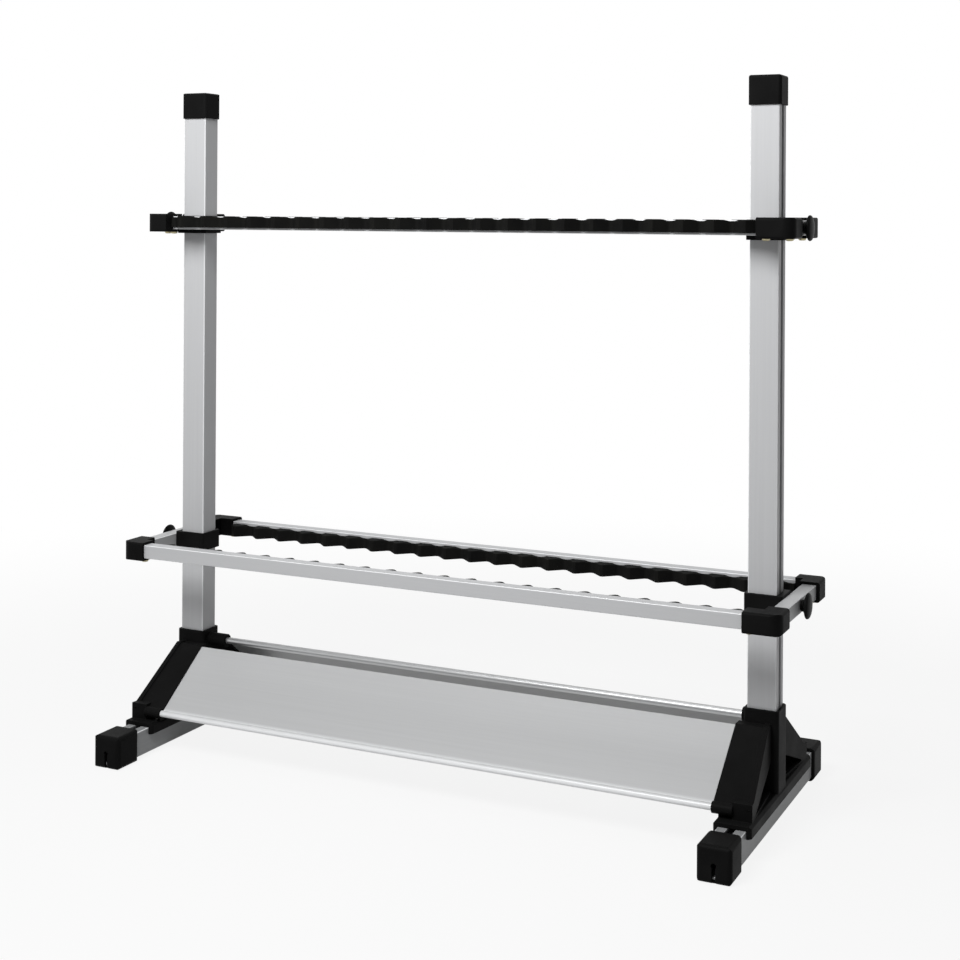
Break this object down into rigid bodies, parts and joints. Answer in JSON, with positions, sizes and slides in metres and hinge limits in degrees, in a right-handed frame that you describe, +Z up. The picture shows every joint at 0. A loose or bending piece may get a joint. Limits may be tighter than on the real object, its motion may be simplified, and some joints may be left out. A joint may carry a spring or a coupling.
{
  "type": "fishing rod rack",
  "caption": "Free-standing aluminium rod rack: two slotted posts on bracketed feet, sliding notched upper and lower frames clamped by knobs, and sloped butt panels.",
  "frame": {"origin": "on the floor, midway between the two posts", "axes": "+X along the rack to the right seen from the front, the front faces -Y, +Z up"},
  "size_m": [0.7826, 0.344, 0.752],
  "materials": {
    "post_aluminium": "satin anodised",
    "rail_aluminium": "satin anodised",
    "panel_aluminium": "satin anodised",
    "rod_aluminium": "satin",
    "black_plastic": "satin",
    "knob_plastic": "satin",
    "strip_rubber": "matt",
    "zinc_steel": "yellow zinc plated"
  },
  "bodies": {
    "base": {"foot_bar_left": "post_aluminium", "foot_bar_right": "post_aluminium", "foot_cap_front_left": "black_plastic", "foot_cap_front_right": "black_plastic", "foot_cap_rear_left": "black_plastic", "foot_cap_rear_right": "black_plastic", "base_bracket_left": "black_plastic", "base_bracket_right": "black_plastic", "bracket_bolts": "zinc_steel", "bracket_slot_nuts": "zinc_steel", "post_fixing_screws": "zinc_steel", "post_left": "post_aluminium", "post_right": "post_aluminium", "post_cap_left": "black_plastic", "post_cap_right": "black_plastic", "front_panel": "panel_aluminium", "rear_panel": "panel_aluminium", "tie_rod": "rod_aluminium"},
    "upper_rack": {"upper_front_rail": "rail_aluminium", "upper_rear_rail": "rail_aluminium", "upper_left_rail": "rail_aluminium", "upper_right_rail": "rail_aluminium", "upper_front_strip_left": "strip_rubber", "upper_front_strip_right": "strip_rubber", "upper_rear_strip_left": "strip_rubber", "upper_rear_strip_right": "strip_rubber", "upper_corner_front_left": "black_plastic", "upper_corner_front_right": "black_plastic", "upper_corner_rear_left": "black_plastic", "upper_corner_rear_right": "black_plastic", "upper_collar_left": "black_plastic", "upper_collar_right": "black_plastic", "upper_corner_screws": "zinc_steel", "upper_slot_nuts": "zinc_steel"},
    "lower_rack": {"lower_front_rail": "rail_aluminium", "lower_rear_rail": "rail_aluminium", "lower_left_rail": "rail_aluminium", "lower_right_rail": "rail_aluminium", "lower_front_strip_left": "strip_rubber", "lower_front_strip_right": "strip_rubber", "lower_rear_strip_left": "strip_rubber", "lower_rear_strip_right": "strip_rubber", "lower_corner_front_left": "black_plastic", "lower_corner_front_right": "black_plastic", "lower_corner_rear_left": "black_plastic", "lower_corner_rear_right": "black_plastic", "lower_collar_left": "black_plastic", "lower_collar_right": "black_plastic", "lower_corner_screws": "zinc_steel", "lower_slot_nuts": "zinc_steel"},
    "upper_knob_left_body": {"upper_knob_left": "knob_plastic", "upper_stud_left": "zinc_steel"},
    "upper_knob_right_body": {"upper_knob_right": "knob_plastic", "upper_stud_right": "zinc_steel"},
    "lower_knob_left_body": {"lower_knob_left": "knob_plastic", "lower_stud_left": "zinc_steel"},
    "lower_knob_right_body": {"lower_knob_right": "knob_plastic", "lower_stud_right": "zinc_steel"}
  },
  "joints": [
    {"name": "upper_rack_slide", "type": "slide", "parent": "base", "child": "upper_rack", "axis": [0, 0, 1], "range_m": [-0.168, 0.112]},
    {"name": "lower_rack_slide", "type": "slide", "parent": "base", "child": "lower_rack", "axis": [0, 0, 1], "range_m": [-0.093, 0.178]},
    {"name": "upper_knob_left_turn", "type": "hinge", "parent": "upper_rack", "child": "upper_knob_left_body", "pos_m": [-0.3815, 0, 0.5985], "axis": [-1, 0, 0], "range_deg": [0, 540]},
    {"name": "upper_knob_right_turn", "type": "hinge", "parent": "upper_rack", "child": "upper_knob_right_body", "pos_m": [0.3815, 0, 0.5985], "axis": [1, 0, 0], "range_deg": [0, 540]},
    {"name": "lower_knob_left_turn", "type": "hinge", "parent": "lower_rack", "child": "lower_knob_left_body", "pos_m": [-0.3815, 0, 0.222], "axis": [-1, 0, 0], "range_deg": [0, 540]},
    {"name": "lower_knob_right_turn", "type": "hinge", "parent": "lower_rack", "child": "lower_knob_right_body", "pos_m": [0.3815, 0, 0.222], "axis": [1, 0, 0], "range_deg": [0, 540]}
  ]
}
